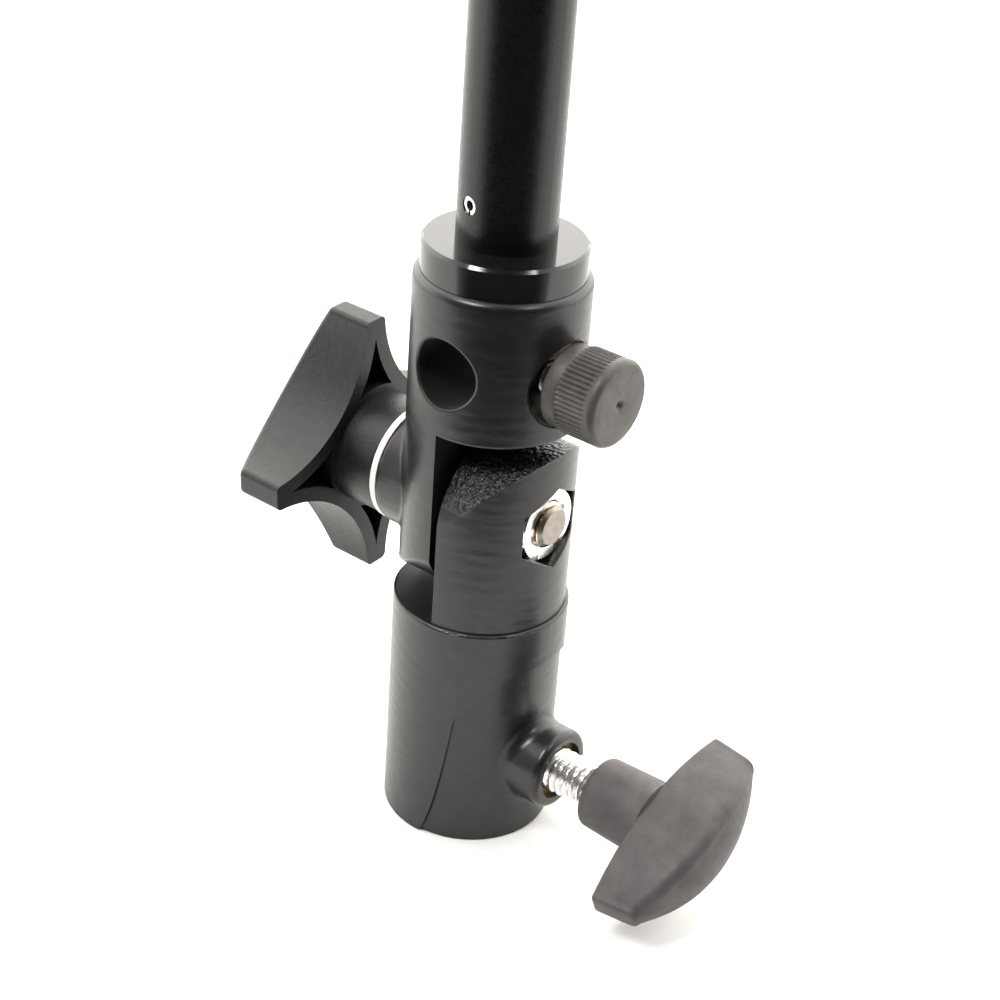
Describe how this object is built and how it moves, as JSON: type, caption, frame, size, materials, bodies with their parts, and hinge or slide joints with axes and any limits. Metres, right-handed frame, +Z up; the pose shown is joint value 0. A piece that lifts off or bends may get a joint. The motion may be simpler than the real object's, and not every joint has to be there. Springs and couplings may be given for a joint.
{
  "type": "umbrella swivel bracket",
  "caption": "Black swivel bracket that clamps on a stand spigot, holds an umbrella shaft in a cross bore and tilts a top tube about a star-knob pivot.",
  "frame": {"origin": "centre of the stand socket's mouth, on the flat bottom face of the lower casting", "axes": "+Z up along the socket and the top tube, +X along the pivot towards the clamp screw, the umbrella bore runs along Y"},
  "size_m": [0.0943, 0.0484, 0.187],
  "materials": {
    "casting_paint": "semi-gloss black paint over a cast surface",
    "flange_black": "gloss black anodised, turned",
    "tube_black": "satin black anodised",
    "knob_plastic": "fine-grained black plastic",
    "handle_plastic": "dull dark grey plastic",
    "thumb_plastic": "dull grey plastic",
    "zinc_steel": "bright zinc plating",
    "bright_steel": "plain steel",
    "brass": "turned brass",
    "white_nylon": "white nylon",
    "dark_fibre": "dark friction fibre",
    "black_plastic": "black plastic",
    "black_steel": "black oxide"
  },
  "bodies": {
    "socket": {"lower_body": "casting_paint", "clamp_insert": "brass", "friction_disc": "dark_fibre", "pivot_nut": "zinc_steel"},
    "head": {"upper_body": "casting_paint", "spigot": "flange_black", "tube": "tube_black", "roll_pin": "bright_steel", "tube_plug": "black_plastic", "spigot_grub": "black_steel"},
    "knob_slider": {"knob_washer": "white_nylon"},
    "knob": {"star_knob": "knob_plastic", "knob_cap": "black_plastic", "pivot_bolt": "bright_steel"},
    "clamp_slider": {"clamp_tip": "brass"},
    "clamp_screw": {"clamp_stud": "zinc_steel", "clamp_handle": "handle_plastic"},
    "thumb_slider": {"thumb_tip": "brass"},
    "thumb": {"thumb_screw": "zinc_steel", "thumb_knob": "thumb_plastic"}
  },
  "joints": [
    {"name": "swivel", "type": "hinge", "parent": "socket", "child": "head", "pos_m": [0, 0, 0.061], "axis": [1, 0, 0], "range_deg": [-90, 90]},
    {"name": "knob_travel", "type": "slide", "parent": "socket", "child": "knob_slider", "axis": [1, 0, 0], "range_m": [-0.0028, 0]},
    {"name": "knob_turn", "type": "hinge", "parent": "knob_slider", "child": "knob", "pos_m": [0, 0, 0.061], "axis": [1, 0, 0], "range_deg": [-720, 0]},
    {"name": "clamp_travel", "type": "slide", "parent": "socket", "child": "clamp_slider", "axis": [-1, 0, 0], "range_m": [-0.0056, 0.0074]},
    {"name": "clamp_turn", "type": "hinge", "parent": "clamp_slider", "child": "clamp_screw", "pos_m": [0, 0, 0.0147], "axis": [-1, 0, 0], "range_deg": [-1440, 1890]},
    {"name": "thumb_travel", "type": "slide", "parent": "head", "child": "thumb_slider", "axis": [-1, 0, 0], "range_m": [-0.0038, 0.0026]},
    {"name": "thumb_turn", "type": "hinge", "parent": "thumb_slider", "child": "thumb", "pos_m": [0, 0, 0.0871], "axis": [-1, 0, 0], "range_deg": [-1080, 740]}
  ],
  "couplings": [
    {"joint": "knob_turn", "follows": "knob_travel", "rad_per_m": 4452.7},
    {"joint": "clamp_turn", "follows": "clamp_travel", "rad_per_m": 4452.7},
    {"joint": "thumb_turn", "follows": "thumb_travel", "rad_per_m": 4947.4}
  ]
}
